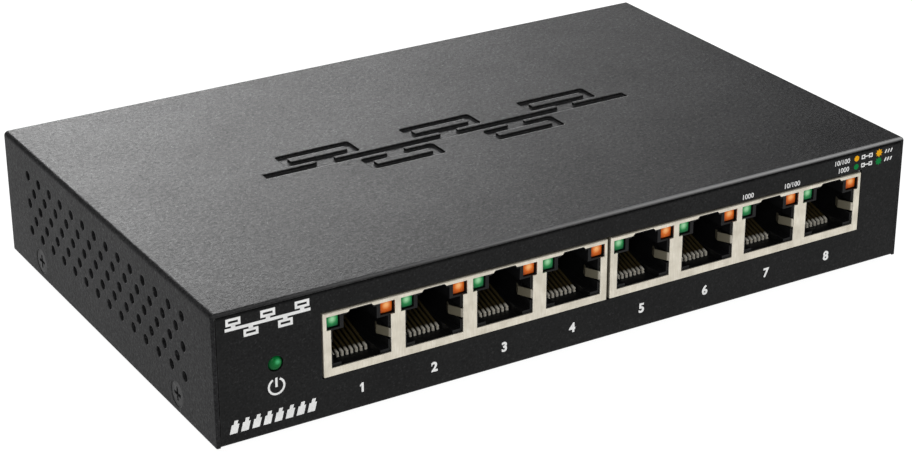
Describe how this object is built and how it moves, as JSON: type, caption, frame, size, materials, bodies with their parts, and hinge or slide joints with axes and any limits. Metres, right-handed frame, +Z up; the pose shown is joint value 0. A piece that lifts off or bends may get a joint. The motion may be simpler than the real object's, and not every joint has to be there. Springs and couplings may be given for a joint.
{
  "type": "desktop network switch",
  "caption": "Flat desktop network switch in a folded sheet-metal case, with shielded jacks across the front, side vents, a power light and rubber feet.",
  "frame": {"origin": "middle of the case's footprint, on the plane under the rubber feet", "axes": "+Z up, -Y out of the face with the ports, +X to the right when looking at the ports"},
  "size_m": [0.162, 0.1024, 0.029],
  "materials": {
    "cover_paint": "fine textured grey powder coat",
    "tray_paint": "fine textured near-black powder coat",
    "black_screw": "blackened steel",
    "zinc_steel": "zinc-plated steel",
    "foot_rubber": "matt black rubber",
    "label_film": "matt polyester film, blank",
    "board_laminate": "green solder mask on glass laminate",
    "shield_tin": "bright nickel-plated sheet",
    "jack_nylon": "black glass-filled nylon",
    "contact_gold": "gold-plated phosphor bronze",
    "green_lens": "green tinted clear epoxy",
    "amber_lens": "amber tinted clear epoxy",
    "tinned_lead": "tin-plated copper",
    "chip_epoxy": "matt black moulding compound",
    "pad_silicone": "soft blue-grey silicone pad",
    "sink_aluminium": "black anodised aluminium",
    "can_aluminium": "bare aluminium can",
    "ferrite": "grey-black ferrite",
    "ceramic": "tan ceramic with tinned ends"
  },
  "bodies": {
    "case": {"activity_lights_left": "amber_lens", "activity_lights_right": "amber_lens", "base_tray": "tray_paint", "board_screws": "zinc_steel", "chip_capacitors": "ceramic", "chip_resistors": "ceramic", "circuit_board": "board_laminate", "component_leads": "tinned_lead", "contact_carriers_left": "jack_nylon", "contact_carriers_right": "jack_nylon", "contact_posts_left": "contact_gold", "contact_posts_right": "contact_gold", "converter_chip": "chip_epoxy", "cover_screws": "black_screw", "crystal": "tinned_lead", "diode": "chip_epoxy", "foot_front_left": "foot_rubber", "foot_front_right": "foot_rubber", "foot_rear_left": "foot_rubber", "foot_rear_right": "foot_rubber", "heat_sink": "sink_aluminium", "inductor": "ferrite", "inlet_housing": "jack_nylon", "inlet_pin": "tinned_lead", "inlet_terminals": "tinned_lead", "input_capacitor": "can_aluminium", "jack_housing_left": "jack_nylon", "jack_housing_right": "jack_nylon", "jack_shield_left": "shield_tin", "jack_shield_right": "shield_tin", "line_transformer_1": "chip_epoxy", "line_transformer_2": "chip_epoxy", "line_transformer_3": "chip_epoxy", "line_transformer_4": "chip_epoxy", "link_lights_left": "green_lens", "link_lights_right": "green_lens", "memory_chip": "chip_epoxy", "output_capacitor_1": "can_aluminium", "output_capacitor_2": "can_aluminium", "port_light_leads_left": "tinned_lead", "port_light_leads_right": "tinned_lead", "power_light": "green_lens", "power_light_holder": "jack_nylon", "power_light_leads": "tinned_lead", "rating_label": "label_film", "small_chip_leads": "tinned_lead", "switch_chip": "chip_epoxy", "switch_chip_leads": "tinned_lead", "thermal_pad": "pad_silicone", "top_cover": "cover_paint", "transformer_leads": "tinned_lead"},
    "port_1_spring_set": {"port_1_contacts": "contact_gold"},
    "port_2_spring_set": {"port_2_contacts": "contact_gold"},
    "port_3_spring_set": {"port_3_contacts": "contact_gold"},
    "port_4_spring_set": {"port_4_contacts": "contact_gold"},
    "port_5_spring_set": {"port_5_contacts": "contact_gold"},
    "port_6_spring_set": {"port_6_contacts": "contact_gold"},
    "port_7_spring_set": {"port_7_contacts": "contact_gold"},
    "port_8_spring_set": {"port_8_contacts": "contact_gold"},
    "inlet_spring": {"inlet_sleeve_spring": "tinned_lead"}
  },
  "joints": [
    {"name": "port_1_contact_flex", "type": "hinge", "parent": "case", "child": "port_1_spring_set", "pos_m": [-0.0505, -0.0462, 0.01165], "axis": [-1, 0, 0], "range_deg": [0, 10], "stiffness_Nm_per_rad": 0.6},
    {"name": "port_2_contact_flex", "type": "hinge", "parent": "case", "child": "port_2_spring_set", "pos_m": [-0.03463, -0.0462, 0.01165], "axis": [-1, 0, 0], "range_deg": [0, 10], "stiffness_Nm_per_rad": 0.6},
    {"name": "port_3_contact_flex", "type": "hinge", "parent": "case", "child": "port_3_spring_set", "pos_m": [-0.01875, -0.0462, 0.01165], "axis": [-1, 0, 0], "range_deg": [0, 10], "stiffness_Nm_per_rad": 0.6},
    {"name": "port_4_contact_flex", "type": "hinge", "parent": "case", "child": "port_4_spring_set", "pos_m": [-0.00287, -0.0462, 0.01165], "axis": [-1, 0, 0], "range_deg": [0, 10], "stiffness_Nm_per_rad": 0.6},
    {"name": "port_5_contact_flex", "type": "hinge", "parent": "case", "child": "port_5_spring_set", "pos_m": [0.01392, -0.0462, 0.01165], "axis": [-1, 0, 0], "range_deg": [0, 10], "stiffness_Nm_per_rad": 0.6},
    {"name": "port_6_contact_flex", "type": "hinge", "parent": "case", "child": "port_6_spring_set", "pos_m": [0.0298, -0.0462, 0.01165], "axis": [-1, 0, 0], "range_deg": [0, 10], "stiffness_Nm_per_rad": 0.6},
    {"name": "port_7_contact_flex", "type": "hinge", "parent": "case", "child": "port_7_spring_set", "pos_m": [0.04568, -0.0462, 0.01165], "axis": [-1, 0, 0], "range_deg": [0, 10], "stiffness_Nm_per_rad": 0.6},
    {"name": "port_8_contact_flex", "type": "hinge", "parent": "case", "child": "port_8_spring_set", "pos_m": [0.06155, -0.0462, 0.01165], "axis": [-1, 0, 0], "range_deg": [0, 10], "stiffness_Nm_per_rad": 0.6},
    {"name": "inlet_sleeve_flex", "type": "hinge", "parent": "case", "child": "inlet_spring", "pos_m": [-0.06, 0.0486, 0.01315], "axis": [1, 0, 0], "range_deg": [0, 5], "stiffness_Nm_per_rad": 0.22}
  ]
}
